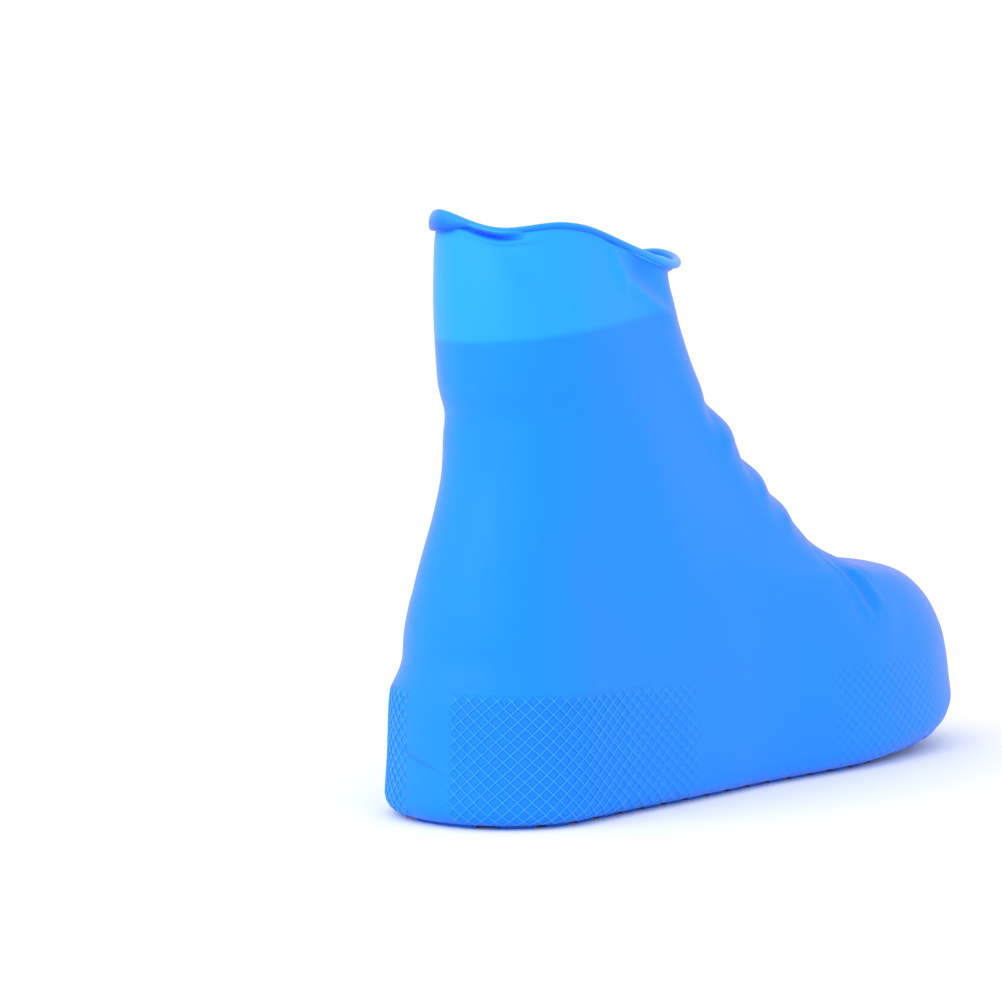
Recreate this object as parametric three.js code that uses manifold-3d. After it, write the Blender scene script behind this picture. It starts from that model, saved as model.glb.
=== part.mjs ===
// A waterproof slip-on shoe cover, moulded in latex, standing open as it does over a shoe.
// Millimetres, +Z up, heel towards -X, toe towards +X. It is a right foot's: its outer side is -Y.
// The origin is on the floor, at the centre of the cover's bounding box.
import * as THREE from "three";
import Module from "manifold-3d";

const wasm = await Module();
wasm.setup();

// Driving dimensions
const COVER_LENGTH = 296; // heel to toe, over the band
const BALL_WIDTH = 101; // across the band at the ball of the foot
const WAIST_WIDTH = 83; // across the band at the arch
const HEEL_WIDTH = 77; // across the band at the heel
const TOE_SHIFT = 7; // how far the tip of the toe turns inwards
const TOE_SPRING = 12; // how far the tip of the sole rises off the floor
const BAND_HEEL_HEIGHT = 44; // top of the band at the heel
const BAND_TOE_HEIGHT = 36; // top of the band at the toe
const BAND_LEAN = 2; // how far the band's top edge leans in
const HEEL_EDGE_RADIUS = 6; // round from the band's side to its underside, at the heel
const TOE_EDGE_RADIUS = 11; // the same at the toe
const COLLAR_LENGTH = 96; // ankle opening, back to front
const COLLAR_WIDTH = 58; // ankle opening, side to side
const COLLAR_SETBACK = 19; // back of the ankle opening, in front of the back of the heel
const COLLAR_BACK_HEIGHT = 190; // film edge at the back of the ankle
const COLLAR_FRONT_HEIGHT = 186; // film edge at the front of the ankle
const RIM_WAVE = 8; // how far the rim rises and sags
const RIM_DIAMETER = 3.8; // rolled bead
const FOLD_WIDTH = 6; // a fold's reach to either side of its line
const FOLD_DEPTH = 2; // how far a fold stands out or in
const FILM = 1.2; // wall of the upper
const BAND_WALL = 1.8; // wall of the band
const SOLE = 3; // sole plate with its tread
const TREAD_PITCH = 12; // from one tread bar to the next
const TREAD_GROOVE = 3.6; // width of the groove between bars
const TREAD_DEPTH = 1.1; // depth of the groove
const GAP = 0.3; // between pieces that touch

// Mesh density
const AROUND = 64; // points round a loop
const DENSE = 240; // points that measure one side of a loop
const UPPER_STEPS = 30; // rows up the upper
const ROUND_STEPS = 3; // rows round the band's lower edge
const BEAD_SIDES = 8;

// Side view of the upper's sections, from the band's top edge to the rim.
// back, front: from the heel or toe (0) to the collar's end (1).
// backRise, frontRise: from the band's top edge (0) to the rim (1).
const PROFILE = [
  { back: 0.0, backRise: 0.0, front: 0.0, frontRise: 0.0 },
  { back: 0.18, backRise: 0.04, front: 0.02, frontRise: 0.06 },
  { back: 0.26, backRise: 0.12, front: 0.08, frontRise: 0.135 },
  { back: 0.34, backRise: 0.17, front: 0.185, frontRise: 0.19 },
  { back: 0.42, backRise: 0.2, front: 0.3, frontRise: 0.228 },
  { back: 0.55, backRise: 0.25, front: 0.41, frontRise: 0.252 },
  { back: 0.75, backRise: 0.31, front: 0.51, frontRise: 0.297 },
  { back: 1.0, backRise: 0.38, front: 0.61, frontRise: 0.37 },
  { back: 1.22, backRise: 0.47, front: 0.705, frontRise: 0.46 },
  { back: 1.24, backRise: 0.57, front: 0.81, frontRise: 0.57 },
  { back: 1.1, backRise: 0.68, front: 0.912, frontRise: 0.7 },
  { back: 1.0, backRise: 0.82, front: 0.97, frontRise: 0.82 },
  { back: 1.02, backRise: 0.94, front: 1.02, frontRise: 0.94 },
  { back: 0.99, backRise: 1.0, front: 1.005, frontRise: 1.0 },
];

// Plan view of the same sections.
// heel, waist, ball: half-widths there, from the foot's (0) to the collar's (1).
// heelCap, toeCap: lengths of the rounded ends, as shares of the heel's and ball's width.
const WIDTHS = [
  { heel: 0.0, waist: 0.0, ball: 0.0, heelCap: 0.5, toeCap: 0.62 },
  { heel: 0.08, waist: 0.0, ball: 0.02, heelCap: 0.5, toeCap: 0.6 },
  { heel: 0.3, waist: 0.05, ball: 0.17, heelCap: 0.48, toeCap: 0.6 },
  { heel: 0.5, waist: 0.1, ball: 0.31, heelCap: 0.46, toeCap: 0.59 },
  { heel: 0.65, waist: 0.15, ball: 0.43, heelCap: 0.44, toeCap: 0.55 },
  { heel: 0.8, waist: 0.2, ball: 0.52, heelCap: 0.42, toeCap: 0.5 },
  { heel: 0.9, waist: 0.3, ball: 0.64, heelCap: 0.41, toeCap: 0.46 },
  { heel: 0.98, waist: 0.42, ball: 0.76, heelCap: 0.4, toeCap: 0.42 },
  { heel: 1.04, waist: 0.56, ball: 0.87, heelCap: 0.4, toeCap: 0.39 },
  { heel: 1.07, waist: 0.7, ball: 0.94, heelCap: 0.4, toeCap: 0.36 },
  { heel: 1.03, waist: 0.84, ball: 0.98, heelCap: 0.4, toeCap: 0.34 },
  { heel: 1.0, waist: 0.93, ball: 1.0, heelCap: 0.4, toeCap: 0.33 },
  { heel: 1.0, waist: 1.0, ball: 1.0, heelCap: 0.4, toeCap: 0.33 },
  { heel: 0.97, waist: 0.97, ball: 0.97, heelCap: 0.4, toeCap: 0.33 },
];
const SECTIONS = PROFILE.map((row, i) => ({ ...row, ...WIDTHS[i] }));

// The rim's wave, round from the back by the outer side, the front and the inner side, as shares
// of a whole turn and of RIM_WAVE
const WAVE = [
  { turn: 0.0, lift: 0.25 },
  { turn: 0.07, lift: -0.1 },
  { turn: 0.13, lift: 0.2 },
  { turn: 0.36, lift: -0.93 },
  { turn: 0.48, lift: -0.1 },
  { turn: 0.68, lift: -0.1 },
  { turn: 0.92, lift: 0.85 },
  { turn: 1.0, lift: 0.25 },
];
const WAVE_START = 0.72; // share of the upper's rows below which the wave has died out

// Folds and dents of the upper, each along a line in the side view.
// side: -1 is the outer side, 1 the inner, 0 both.
// fromX, toX: from the heel (0) to the toe (1). fromZ, toZ: from the floor (0) to the rim (1).
// width, rise: shares of FOLD_WIDTH and FOLD_DEPTH.
const FOLDS = [
  { side: -1, fromX: 0.21, fromZ: 0.97, toX: 0.33, toZ: 0.89, width: 1.0, rise: 0.7 },
  { side: -1, fromX: 0.075, fromZ: 1.0, toX: 0.12, toZ: 0.9, width: 0.9, rise: -0.7 },
  { side: 0, fromX: 0.07, fromZ: 0.7, toX: 0.12, toZ: 0.715, width: 1.0, rise: -0.7 },
  { side: 0, fromX: 0.43, fromZ: 0.735, toX: 0.365, toZ: 0.68, width: 0.9, rise: -0.9 },
  { side: 0, fromX: 0.46, fromZ: 0.67, toX: 0.385, toZ: 0.625, width: 1.0, rise: 0.8 },
  { side: 0, fromX: 0.5, fromZ: 0.625, toX: 0.445, toZ: 0.57, width: 0.8, rise: -0.5 },
  { side: 0, fromX: 0.53, fromZ: 0.58, toX: 0.46, toZ: 0.52, width: 0.9, rise: 0.6 },
  { side: 0, fromX: 0.57, fromZ: 0.515, toX: 0.5, toZ: 0.45, width: 0.9, rise: 0.6 },
  { side: 0, fromX: 0.615, fromZ: 0.42, toX: 0.66, toZ: 0.32, width: 1.5, rise: -0.8 },
  { side: 0, fromX: 0.67, fromZ: 0.37, toX: 0.71, toZ: 0.3, width: 1.5, rise: 0.5 },
  { side: 0, fromX: 0.025, fromZ: 0.29, toX: 0.07, toZ: 0.275, width: 0.8, rise: -0.5 },
];

// Shares of a loop's length from the back: where its half-widths are set, and where the sole
// starts to rise
const STATIONS = { heel: 0.12, waist: 0.42, spring: 0.6, ball: 0.72 };
const CAP_POWER = 2.1; // 2 is an ellipse, more is squarer

const HEEL_X = -COVER_LENGTH / 2;
const TOE_X = COVER_LENGTH / 2;
const COLLAR_BACK_X = HEEL_X + COLLAR_SETBACK;
const COLLAR_FRONT_X = COLLAR_BACK_X + COLLAR_LENGTH;
const SPRING_X = mix(HEEL_X, TOE_X, STATIONS.spring);
const WAIST_X = mix(HEEL_X, TOE_X, STATIONS.waist);

function mix(a, b, t) {
  return a + (b - a) * t;
}

function clamp(v, low, high) {
  return Math.min(high, Math.max(low, v));
}

function smooth(t) {
  const s = clamp(t, 0, 1);
  return s * s * (3 - 2 * s);
}

// Catmull-Rom through values, at t from 0 to values.length - 1
function spline(values, t) {
  const i = clamp(Math.floor(t), 0, values.length - 2);
  const f = t - i;
  const at = (k) => values[clamp(k, 0, values.length - 1)];
  const [a, b, c, d] = [at(i - 1), at(i), at(i + 1), at(i + 2)];
  return b + 0.5 * f * (c - a + f * (2 * a - 5 * b + 4 * c - d + f * (3 * (b - c) + d - a)));
}

// The sole's rise off the floor
function spring(x) {
  return TOE_SPRING * Math.pow(clamp((x - SPRING_X) / (TOE_X - SPRING_X), 0, 1), 2);
}

// The rim's lift at a share of a whole turn
function wave(turn) {
  const next = WAVE.findIndex((row) => row.turn >= turn);
  const [a, b] = [WAVE[Math.max(next - 1, 0)], WAVE[Math.max(next, 1)]];
  return RIM_WAVE * mix(a.lift, b.lift, smooth((turn - a.turn) / (b.turn - a.turn)));
}

// Half-width of a loop at a share of its length
function halfWidth(loop, share) {
  const length = Math.hypot(loop.frontX - loop.backX, loop.frontZ - loop.backZ);
  const { heel, waist, ball } = STATIONS;
  const wide =
    share < waist
      ? mix(loop.heel, loop.waist, smooth((share - heel) / (waist - heel)))
      : mix(loop.waist, loop.ball, smooth((share - waist) / (ball - waist)));
  const cap = (distance, size) =>
    distance >= size ? 1 : Math.pow(1 - Math.pow(1 - distance / size, CAP_POWER), 1 / CAP_POWER);
  return wide * cap(share * length, loop.heelCap) * cap((1 - share) * length, loop.toeCap);
}

// A closed loop of evenly spaced points: from the back along the outer side to the front, and
// back along the inner side
function loopPoints(loop) {
  const side = [];
  for (let i = 0; i <= DENSE; i++) {
    const share = (1 - Math.cos((Math.PI * i) / DENSE)) / 2;
    const x = mix(loop.backX, loop.frontX, share);
    side.push(new THREE.Vector3(x, -halfWidth(loop, share), mix(loop.backZ, loop.frontZ, share)));
  }
  const reach = [0];
  for (let i = 1; i <= DENSE; i++) reach.push(reach[i - 1] + side[i].distanceTo(side[i - 1]));
  const half = [];
  let k = 0;
  for (let i = 0; i <= AROUND / 2; i++) {
    const want = (reach[DENSE] * i) / (AROUND / 2);
    while (k < DENSE - 1 && reach[k + 1] < want) k++;
    half.push(side[k].clone().lerp(side[k + 1], (want - reach[k]) / (reach[k + 1] - reach[k])));
  }
  const inner = half.slice(1, -1).reverse();
  return [...half, ...inner.map((p) => new THREE.Vector3(p.x, -p.y, p.z))];
}

// The upper's loop at a share of the way up its table
function upperLoop(share) {
  const row = {};
  for (const key of Object.keys(SECTIONS[0])) {
    const column = SECTIONS.map((section) => section[key]);
    row[key] = spline(column, share * (column.length - 1));
  }
  const points = loopPoints({
    backX: mix(HEEL_X + BAND_LEAN, COLLAR_BACK_X, row.back),
    backZ: mix(BAND_HEEL_HEIGHT, COLLAR_BACK_HEIGHT, row.backRise),
    frontX: mix(TOE_X - BAND_LEAN, COLLAR_FRONT_X, row.front),
    frontZ: mix(BAND_TOE_HEIGHT, COLLAR_FRONT_HEIGHT, row.frontRise),
    heel: mix(HEEL_WIDTH / 2 - BAND_LEAN, COLLAR_WIDTH / 2, row.heel),
    waist: mix(WAIST_WIDTH / 2 - BAND_LEAN, COLLAR_WIDTH / 2, row.waist),
    ball: mix(BALL_WIDTH / 2 - BAND_LEAN, COLLAR_WIDTH / 2, row.ball),
    heelCap: row.heelCap * HEEL_WIDTH,
    toeCap: row.toeCap * BALL_WIDTH,
  });
  const fade = smooth((share - WAVE_START) / (1 - WAVE_START));
  points.forEach((p, i) => (p.z += fade * wave(i / AROUND)));
  return points;
}

// The cover's widest outline, just above the sole's edge, flat on the floor
function footLoop() {
  return loopPoints({
    backX: HEEL_X,
    backZ: 0,
    frontX: TOE_X,
    frontZ: 0,
    heel: HEEL_WIDTH / 2,
    waist: WAIST_WIDTH / 2,
    ball: BALL_WIDTH / 2,
    heelCap: SECTIONS[0].heelCap * HEEL_WIDTH,
    toeCap: SECTIONS[0].toeCap * BALL_WIDTH,
  });
}

// Outward directions in plan at a loop's points
function planNormals(loop) {
  return loop.map((_, i) => {
    const along = loop[(i + 1) % loop.length].clone().sub(loop.at(i - 1));
    return new THREE.Vector3(along.y, -along.x, 0).normalize();
  });
}

const foot = footLoop();
const footNormals = planNormals(foot);

// Radius of the band's lower edge
function edgeRadius(x) {
  return mix(HEEL_EDGE_RADIUS, TOE_EDGE_RADIUS, smooth((x - WAIST_X) / (TOE_X - WAIST_X)));
}

// The foot's outline moved in and up off the sprung sole, by shares of the lower edge's radius and
// by distances
function footInset(shareIn, shareUp, inwards, upwards) {
  return foot.map((p, i) => {
    const radius = edgeRadius(p.x);
    const q = p.clone().addScaledVector(footNormals[i], -shareIn * radius - inwards);
    q.z = spring(p.x) + shareUp * radius + upwards;
    return q;
  });
}

// The skin's outward direction at point i of loop r
function skinNormal(loops, r, i) {
  const around = loops[0].length;
  const at = (row, k) => loops[clamp(row, 0, loops.length - 1)][(k + around) % around];
  const along = at(r, i + 1).clone().sub(at(r, i - 1));
  const up = at(r + 1, i).clone().sub(at(r - 1, i));
  return along.cross(up).normalize();
}

// The same loops moved in by a wall along the skin's normals. The last loop moves level, and the
// first one level or straight up
function offsetLoops(loops, wall, firstUpright) {
  return loops.map((loop, r) =>
    loop.map((p, i) => {
      const normal = skinNormal(loops, r, i);
      if (r === 0 && firstUpright) normal.set(0, 0, -1);
      else if (r === 0 || r === loops.length - 1) normal.setZ(0).normalize();
      return p.clone().addScaledVector(normal, -wall);
    }),
  );
}

// A place in the side view, from shares of the cover's length and of the collar's height
function sidePlace(shareX, shareZ) {
  return new THREE.Vector3(mix(HEEL_X, TOE_X, shareX), 0, shareZ * COLLAR_FRONT_HEIGHT);
}

// How far the folds move a point of the upper outwards
function foldRise(p) {
  let rise = 0;
  for (const fold of FOLDS) {
    if (fold.side * p.y < 0) continue;
    const from = sidePlace(fold.fromX, fold.fromZ);
    const to = sidePlace(fold.toX, fold.toZ);
    const nearest = new THREE.Vector3();
    new THREE.Line3(from, to).closestPointToPoint(new THREE.Vector3(p.x, 0, p.z), true, nearest);
    const away = Math.hypot(p.x - nearest.x, p.z - nearest.z) / (fold.width * FOLD_WIDTH);
    rise += fold.rise * FOLD_DEPTH * Math.exp(-away * away);
  }
  return rise;
}

// Turns the toe inwards: every piece is drawn symmetric and then bent by this
function bend(p) {
  const turn = Math.pow(clamp((p.x - WAIST_X) / (TOE_X - WAIST_X), 0, 1), 2);
  return [p.x, p.y + TOE_SHIFT * turn, p.z];
}

// Loops joined round a closed section, the last to the first
function ringGeometry(loops) {
  const around = loops[0].length;
  const index = [];
  loops.forEach((_, r) => {
    const next = (r + 1) % loops.length;
    for (let i = 0; i < around; i++) {
      const j = (i + 1) % around;
      const [a, b, c, d] = [r * around + i, r * around + j, next * around + j, next * around + i];
      index.push(a, b, c, a, c, d);
    }
  });
  return toGeometry(loops.flat().flatMap(bend), index);
}

function toGeometry(position, index) {
  const geometry = new THREE.BufferGeometry();
  geometry.setAttribute("position", new THREE.BufferAttribute(new Float32Array(position), 3));
  geometry.setIndex(index);
  geometry.computeVertexNormals();
  return geometry;
}

// The upper's outer skin, folds and all, from the band's top edge to the rim
function foldedSkin() {
  const plain = [];
  for (let r = 0; r <= UPPER_STEPS; r++) plain.push(upperLoop(r / UPPER_STEPS));
  return plain.map((loop, r) =>
    loop.map((p, i) => {
      if (r === 0) return p;
      return p.clone().addScaledVector(skinNormal(plain, r, i), foldRise(p));
    }),
  );
}

const skin = foldedSkin();

function upperGeometry() {
  const outer = skin.map((loop) => loop.map((p) => p.clone()));
  outer[0].forEach((p) => (p.z += GAP));
  return ringGeometry([...outer, ...offsetLoops(outer, FILM, false).reverse()]);
}

// The band's skin from the sole's edge, round its lower edge and up to the film
function bandGeometry() {
  const outer = [];
  for (let k = 0; k <= ROUND_STEPS; k++) {
    const angle = (Math.PI / 2) * (k / ROUND_STEPS);
    outer.push(footInset(1 - Math.sin(angle), 1 - Math.cos(angle), 0, TREAD_DEPTH));
  }
  outer.push(skin[0]);
  const wall = offsetLoops(outer, BAND_WALL, true);
  return ringGeometry([...outer, ...wall.reverse()]);
}

function solidOf(position, index) {
  const vertProperties = new Float32Array(position);
  const triVerts = new Uint32Array(index);
  return new wasm.Manifold(new wasm.Mesh({ numProp: 3, vertProperties, triVerts }));
}

// The sole: a plate between the band's edges, sprung at the toe, with grooves across its underside
function soleGeometry() {
  const low = footInset(1, 0, GAP, 0);
  const high = footInset(1, 0, GAP, SOLE);
  const half = AROUND / 2;
  const position = [...low, ...high].flatMap((p) => [p.x, p.y, p.z]);
  const index = [];
  for (let i = 0; i < AROUND; i++) {
    const j = (i + 1) % AROUND;
    index.push(i, j, AROUND + j, i, AROUND + j, AROUND + i);
  }
  // Strips across the sole join each outer point to the inner point beside it
  for (let i = 0; i < half; i++) {
    const [a, b] = [i, i + 1];
    const [c, d] = [(AROUND - i) % AROUND, (AROUND - i - 1) % AROUND];
    const strip = [];
    if (c !== a) strip.push([a, c, b]);
    if (d !== b) strip.push([b, c, d]);
    for (const [p, q, r] of strip) {
      index.push(p, q, r);
      index.push(AROUND + p, AROUND + r, AROUND + q);
    }
  }
  const plate = solidOf(position, index);
  const grooves = [];
  const count = Math.floor(COVER_LENGTH / TREAD_PITCH / 2);
  for (let k = -count; k < count; k++) {
    const x = (k + 0.5) * TREAD_PITCH;
    const slope = (spring(x + 1) - spring(x - 1)) / 2;
    const groove = wasm.Manifold.cube([TREAD_GROOVE, 2 * BALL_WIDTH, 2 * TREAD_DEPTH], true)
      .rotate([0, (-Math.atan(slope) * 180) / Math.PI, 0])
      .translate([x, 0, spring(x)]);
    grooves.push(groove);
  }
  const mesh = plate.subtract(wasm.Manifold.union(grooves)).getMesh();
  const points = [];
  for (let i = 0; i < mesh.vertProperties.length; i += mesh.numProp) {
    points.push(new THREE.Vector3(...mesh.vertProperties.slice(i, i + 3)));
  }
  return toGeometry(points.flatMap(bend), [...mesh.triVerts]);
}

// The rolled bead: a tube on top of the film's edge
function rimGeometry() {
  const edge = skin.at(-1);
  const below = skin.at(-2);
  const normals = planNormals(edge);
  const radius = RIM_DIAMETER / 2;
  const flat = radius * Math.cos(Math.PI / BEAD_SIDES);
  const loops = [];
  for (let k = 0; k < BEAD_SIDES; k++) {
    const angle = (2 * Math.PI * (k + 0.5)) / BEAD_SIDES;
    loops.push(
      edge.map((p, i) => {
        const up = p.clone().sub(below[i]).normalize();
        return p
          .clone()
          .addScaledVector(up, GAP + flat - radius * Math.cos(angle))
          .addScaledVector(normals[i], radius * Math.sin(angle) - FILM / 2);
      }),
    );
  }
  return ringGeometry(loops);
}

function latex(color, roughness) {
  return new THREE.MeshStandardMaterial({ color, roughness, metalness: 0 });
}

function named(name, geometry, material) {
  const mesh = new THREE.Mesh(geometry, material);
  mesh.name = name;
  return mesh;
}

const cover = new THREE.Group();
cover.add(named("upper", upperGeometry(), latex(0x2f96ff, 0.45)));
cover.add(named("rolled_rim", rimGeometry(), latex(0x2f96ff, 0.4)));
cover.add(named("grip_band", bandGeometry(), latex(0x3fa2f5, 0.5)));
cover.add(named("outsole", soleGeometry(), latex(0x2a86e8, 0.6)));

// Onto the origin
const box = new THREE.Box3().setFromObject(cover);
const middle = box.getCenter(new THREE.Vector3());
for (const piece of cover.children) piece.geometry.translate(-middle.x, -middle.y, -box.min.z);
export default cover;
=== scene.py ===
"""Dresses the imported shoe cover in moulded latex: film, rolled rim, net band and tread.

Every length is in metres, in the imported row's own frame: +X from heel to toe, +Y towards the
inner side of the foot, +Z up, with the origin on the floor.
"""

import logging
import math
from dataclasses import astuple, dataclass
from enum import Enum
from typing import Sequence

import bpy
import numpy as np
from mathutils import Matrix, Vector


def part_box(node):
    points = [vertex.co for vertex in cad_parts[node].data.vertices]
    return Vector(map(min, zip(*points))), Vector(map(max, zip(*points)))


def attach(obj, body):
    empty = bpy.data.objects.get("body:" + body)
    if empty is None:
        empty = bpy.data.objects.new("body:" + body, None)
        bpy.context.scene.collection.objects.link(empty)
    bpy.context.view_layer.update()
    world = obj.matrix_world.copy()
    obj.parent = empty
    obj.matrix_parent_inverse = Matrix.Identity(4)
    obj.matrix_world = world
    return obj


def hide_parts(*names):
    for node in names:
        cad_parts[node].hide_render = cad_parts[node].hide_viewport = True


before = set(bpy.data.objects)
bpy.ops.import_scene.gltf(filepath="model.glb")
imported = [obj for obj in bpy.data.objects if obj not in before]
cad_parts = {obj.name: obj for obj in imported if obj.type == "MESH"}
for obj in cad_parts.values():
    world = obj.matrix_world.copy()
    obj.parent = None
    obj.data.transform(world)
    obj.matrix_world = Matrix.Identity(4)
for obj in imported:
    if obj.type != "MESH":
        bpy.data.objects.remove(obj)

logging.basicConfig(level=logging.INFO, format="%(name)s: %(message)s")
LOG = logging.getLogger("shoe_cover")

BODY = "root"
TONE = "tone"
PLAIN_TONE = 0.5
SHARP_DEGREES = 65.0

Number = float | np.ndarray
Span = tuple[float, float]
Place = tuple[float, float, float]
Colour = tuple[float, float, float, float]
Face = tuple[int, ...]
Socket = bpy.types.NodeSocket

BLACK: Colour = (0.0, 0.0, 0.0, 1.0)
WHITE: Colour = (1.0, 1.0, 1.0, 1.0)


class Node(str, Enum):
    """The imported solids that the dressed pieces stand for."""

    UPPER = "upper"
    RIM = "rolled_rim"
    BAND = "grip_band"
    SOLE = "outsole"


class Slot(str, Enum):
    """The pieces' material slot names, kept with each piece."""

    FILM = "film"
    RIM = "rim"
    BAND = "band"
    SOLE = "sole"


class Side(Enum):
    """Which side of the foot a fold is on."""

    OUTER = -1.0
    BOTH = 0.0
    INNER = 1.0


def mix(a: Number, b: Number, t: Number) -> Number:
    """Blends a into b by t, numbers or arrays.

    Args:
        a: Value at t = 0.
        b: Value at t = 1.
        t: Share of b.

    Returns:
        The blend.
    """
    return a + (b - a) * t


def smooth(t: Number) -> Number:
    """Eases t from 0 to 1, held at both ends.

    Args:
        t: Number or array.

    Returns:
        The eased share, from 0 to 1.
    """
    held = np.clip(t, 0.0, 1.0)
    return held * held * (3.0 - 2.0 * held)


def spline(values: Sequence[float], t: float) -> float:
    """Runs a Catmull-Rom curve through values.

    Args:
        values: Knots, one unit of t apart.
        t: Place on the curve, from 0 to the last knot.

    Returns:
        The curve's value at t.
    """
    i = min(max(math.floor(t), 0), len(values) - 2)
    f = t - i
    a, b, c, d = (values[min(max(k, 0), len(values) - 1)] for k in (i - 1, i, i + 1, i + 2))
    return b + 0.5 * f * (c - a + f * (2 * a - 5 * b + 4 * c - d + f * (3 * (b - c) + d - a)))


@dataclass(frozen=True)
class Section:
    """One row of the upper, as shares of the cover's sizes.

    back and front run from the foot's ends (0) to the collar's (1), and their rises from the
    band's top edge (0) to the rim (1). heel, waist and ball are half-widths, from the foot's (0)
    to the collar's (1). The caps are the rounded ends' lengths, as shares of heel and ball width.
    """

    back: float
    back_rise: float
    front: float
    front_rise: float
    heel: float
    waist: float
    ball: float
    heel_cap: float
    toe_cap: float


SECTIONS: tuple[Section, ...] = (
    Section(0.0, 0.0, 0.0, 0.0, 0.0, 0.0, 0.0, 0.5, 0.66),
    Section(0.18, 0.04, 0.02, 0.06, 0.08, 0.0, 0.06, 0.5, 0.64),
    Section(0.26, 0.12, 0.07, 0.135, 0.3, 0.05, 0.19, 0.48, 0.62),
    Section(0.34, 0.17, 0.16, 0.197, 0.5, 0.1, 0.27, 0.46, 0.6),
    Section(0.42, 0.2, 0.27, 0.23, 0.65, 0.15, 0.37, 0.44, 0.56),
    Section(0.55, 0.25, 0.4, 0.246, 0.8, 0.2, 0.49, 0.42, 0.51),
    Section(0.75, 0.31, 0.508, 0.29, 0.9, 0.3, 0.63, 0.41, 0.46),
    Section(1.0, 0.38, 0.61, 0.37, 0.98, 0.42, 0.76, 0.4, 0.42),
    Section(1.22, 0.47, 0.705, 0.46, 1.04, 0.56, 0.87, 0.4, 0.39),
    Section(1.24, 0.57, 0.81, 0.57, 1.07, 0.7, 0.94, 0.4, 0.36),
    Section(1.1, 0.68, 0.912, 0.7, 1.03, 0.84, 0.98, 0.4, 0.34),
    Section(1.0, 0.82, 0.97, 0.82, 1.0, 0.93, 1.0, 0.4, 0.33),
    Section(1.02, 0.94, 1.01, 0.94, 1.0, 1.0, 1.0, 0.4, 0.33),
    Section(1.13, 1.0, 1.025, 1.0, 0.97, 0.97, 0.97, 0.4, 0.33),
)


@dataclass(frozen=True)
class Crest:
    """A turning point of the rim's wave: share of a whole turn, and lift as a share of the wave."""

    turn: float
    lift: float


WAVE: tuple[Crest, ...] = (
    Crest(-0.07, 0.82),
    Crest(0.05, 0.1),
    Crest(0.13, 0.36),
    Crest(0.36, -0.9),
    Crest(0.48, -0.38),
    Crest(0.68, -0.32),
    Crest(0.93, 0.82),
    Crest(1.05, 0.1),
)


@dataclass(frozen=True)
class Fold:
    """A fold or dent of the film along a line in the side view.

    The line runs from the first place to the second: x from the heel (0) to the toe (1), z from
    the floor (0) to the rim (1). width and rise are shares of the form's fold width and depth.
    """

    side: Side
    from_x: float
    from_z: float
    to_x: float
    to_z: float
    width: float
    rise: float


FOLDS: tuple[Fold, ...] = (
    Fold(Side.OUTER, 0.21, 0.97, 0.33, 0.89, 1.0, 0.25),
    Fold(Side.OUTER, 0.075, 1.0, 0.12, 0.9, 0.9, -0.5),
    Fold(Side.BOTH, 0.07, 0.7, 0.12, 0.715, 1.0, -0.6),
    Fold(Side.BOTH, 0.43, 0.732, 0.407, 0.71, 0.9, -0.75),
    Fold(Side.BOTH, 0.46, 0.67, 0.43, 0.652, 0.9, 0.75),
    Fold(Side.BOTH, 0.5, 0.625, 0.48, 0.605, 0.7, -0.5),
    Fold(Side.BOTH, 0.53, 0.58, 0.503, 0.557, 0.8, 0.6),
    Fold(Side.BOTH, 0.57, 0.515, 0.545, 0.492, 0.8, 0.6),
    Fold(Side.BOTH, 0.615, 0.42, 0.66, 0.32, 0.9, -0.45),
    Fold(Side.BOTH, 0.67, 0.37, 0.71, 0.3, 1.2, 0.4),
    Fold(Side.BOTH, 0.025, 0.29, 0.07, 0.275, 0.8, -0.2),
)

FINE_FOLDS: tuple[Fold, ...] = (
    Fold(Side.OUTER, 0.605, 0.425, 0.665, 0.3, 0.36, 0.45),
    Fold(Side.OUTER, 0.632, 0.39, 0.68, 0.31, 0.33, -0.4),
    Fold(Side.OUTER, 0.65, 0.38, 0.69, 0.325, 0.28, 0.35),
)


@dataclass(frozen=True)
class Crease:
    """A narrow crease of the film, between two places on it.

    turn is a share of a whole turn from the back by the outer side, and rise a share of the way
    up the sections. width is its half-width, height how far it stands out, and tone how much
    lighter it is painted, where below zero is painted shade in the crease.
    """

    from_turn: float
    from_rise: float
    to_turn: float
    to_rise: float
    width: float
    height: float
    tone: float


# A negative tone paints the crease darker: painted shade in the fold.
CREASES: tuple[Crease, ...] = (
    Crease(-0.03, 0.993, 0.078, 0.984, 0.0011, -0.0015, -0.5),
    Crease(0.0, 0.97, 0.11, 0.968, 0.001, 0.0006, 0.0),
    Crease(-0.04, 0.965, 0.11, 0.957, 0.0007, -0.0005, -0.1),
    Crease(0.04, 0.97, 0.115, 0.85, 0.0045, -0.001, -0.03),
    Crease(0.21, 0.998, 0.25, 0.9, 0.002, 0.0011, 0.0),
    Crease(0.225, 0.93, 0.362, 0.872, 0.0024, 0.0012, 0.0),
    Crease(0.265, 0.985, 0.345, 0.915, 0.005, -0.0022, -0.08),
)


@dataclass(frozen=True)
class Roll:
    """The bead's section at a share of a whole turn.

    across and along are its radii out of the film and up it, drop how far it hangs below the
    film's edge, out how far the film's edge flares to meet it, and tone its painted shade and
    highlight along the bead.
    """

    turn: float
    across: float
    along: float
    drop: float
    out: float
    tone: float


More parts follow.
